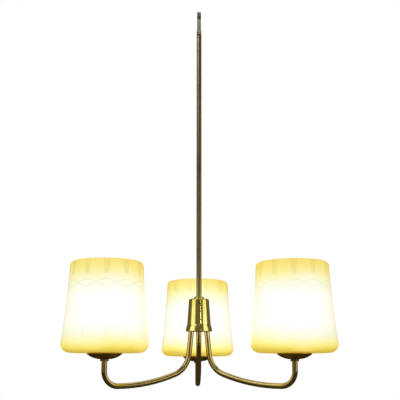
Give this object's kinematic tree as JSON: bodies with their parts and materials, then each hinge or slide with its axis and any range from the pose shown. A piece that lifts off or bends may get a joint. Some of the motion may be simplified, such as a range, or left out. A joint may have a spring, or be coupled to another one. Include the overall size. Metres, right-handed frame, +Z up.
{
  "type": "multi arm chandelier",
  "caption": "Brass pendant chandelier: slim rod, small bell-shaped hub and curved tube arms, each with a dish cup and an upright, slightly conical opal glass shade.",
  "frame": {"origin": "centre of the hanging eye's bore at the very top", "axes": "+Z up along the rod; +Y along the back arm; +X along the eye's bore, so the front arms stand either side of it"},
  "size_m": [0.4922, 0.4473, 0.7693],
  "materials": {
    "brass": "polished brass with a thin aged lacquer",
    "raw_brass": "turned, unpolished brass",
    "steel": "nickel-plated steel, dulled",
    "zinc_steel": "zinc-plated steel",
    "dark_steel": "blackened steel",
    "opal_glass": "pale yellow opal glass with a satin face, lit from inside",
    "bulb_glass": "white-coated bulb glass, lit",
    "bulb_metal": "bright rolled cap",
    "holder_plastic": "moulded ivory plastic",
    "porcelain": "glazed white porcelain",
    "terminal_plastic": "moulded natural plastic",
    "lead_plastic": "clear-gold twin flex"
  },
  "bodies": {
    "hanging_eye": {"hanging_eye": "steel"},
    "frame": {"rod_ferrule": "brass", "eye_screws": "steel", "hanging_rod": "brass", "arm_plate": "raw_brass", "rod_nut": "zinc_steel", "terminal_post": "zinc_steel", "terminal_block": "terminal_plastic", "terminal_barrels": "raw_brass", "terminal_screws": "zinc_steel", "arm_left": "brass", "arm_collar_left": "brass", "cup_left": "brass", "holder_cap_left": "holder_plastic", "holder_shell_left": "holder_plastic", "holder_core_left": "porcelain", "socket_sleeve_left": "raw_brass", "socket_contact_left": "raw_brass", "lead_left": "lead_plastic", "arm_right": "brass", "arm_collar_right": "brass", "cup_right": "brass", "holder_cap_right": "holder_plastic", "holder_shell_right": "holder_plastic", "holder_core_right": "porcelain", "socket_sleeve_right": "raw_brass", "socket_contact_right": "raw_brass", "lead_right": "lead_plastic", "arm_back": "brass", "arm_collar_back": "brass", "cup_back": "brass", "holder_cap_back": "holder_plastic", "holder_shell_back": "holder_plastic", "holder_core_back": "porcelain", "socket_sleeve_back": "raw_brass", "socket_contact_back": "raw_brass", "lead_back": "lead_plastic"},
    "cover": {"hub_cover": "brass", "cover_bush": "raw_brass", "rod_collar": "brass"},
    "set_screw": {"cover_set_screw": "dark_steel"},
    "shade_left": {"shade_left": "opal_glass"},
    "shade_ring_left": {"shade_ring_left": "holder_plastic"},
    "bulb_left": {"bulb_cap_left": "bulb_metal", "bulb_glass_left": "bulb_glass"},
    "shade_right": {"shade_right": "opal_glass"},
    "shade_ring_right": {"shade_ring_right": "holder_plastic"},
    "bulb_right": {"bulb_cap_right": "bulb_metal", "bulb_glass_right": "bulb_glass"},
    "shade_back": {"shade_back": "opal_glass"},
    "shade_ring_back": {"shade_ring_back": "holder_plastic"},
    "bulb_back": {"bulb_cap_back": "bulb_metal", "bulb_glass_back": "bulb_glass"}
  },
  "joints": [
    {"name": "eye_pivot", "type": "hinge", "parent": "hanging_eye", "child": "frame", "pos_m": [0, 0, -0.04], "axis": [0, 1, 0], "range_deg": [-90, 90]},
    {"name": "cover_slide", "type": "slide", "parent": "frame", "child": "cover", "axis": [0, 0, 1], "range_m": [0, 0.5]},
    {"name": "set_screw_turn", "type": "hinge", "parent": "cover", "child": "set_screw", "pos_m": [0, -0.019, -0.601], "axis": [0, -1, 0], "continuous": true},
    {"name": "shade_turn_left", "type": "hinge", "parent": "frame", "child": "shade_left", "pos_m": [-0.1674, -0.09665, -0.617], "axis": [0, 0, 1], "continuous": true},
    {"name": "ring_turn_left", "type": "hinge", "parent": "frame", "child": "shade_ring_left", "pos_m": [-0.1674, -0.09665, -0.689], "axis": [0, 0, 1], "continuous": true},
    {"name": "bulb_turn_left", "type": "hinge", "parent": "frame", "child": "bulb_left", "pos_m": [-0.1674, -0.09665, -0.654], "axis": [0, 0, 1], "continuous": true},
    {"name": "shade_turn_right", "type": "hinge", "parent": "frame", "child": "shade_right", "pos_m": [0.1674, -0.09665, -0.617], "axis": [0, 0, 1], "continuous": true},
    {"name": "ring_turn_right", "type": "hinge", "parent": "frame", "child": "shade_ring_right", "pos_m": [0.1674, -0.09665, -0.689], "axis": [0, 0, 1], "continuous": true},
    {"name": "bulb_turn_right", "type": "hinge", "parent": "frame", "child": "bulb_right", "pos_m": [0.1674, -0.09665, -0.654], "axis": [0, 0, 1], "continuous": true},
    {"name": "shade_turn_back", "type": "hinge", "parent": "frame", "child": "shade_back", "pos_m": [0, 0.1933, -0.617], "axis": [0, 0, 1], "continuous": true},
    {"name": "ring_turn_back", "type": "hinge", "parent": "frame", "child": "shade_ring_back", "pos_m": [0, 0.1933, -0.689], "axis": [0, 0, 1], "continuous": true},
    {"name": "bulb_turn_back", "type": "hinge", "parent": "frame", "child": "bulb_back", "pos_m": [0, 0.1933, -0.654], "axis": [0, 0, 1], "continuous": true}
  ]
}
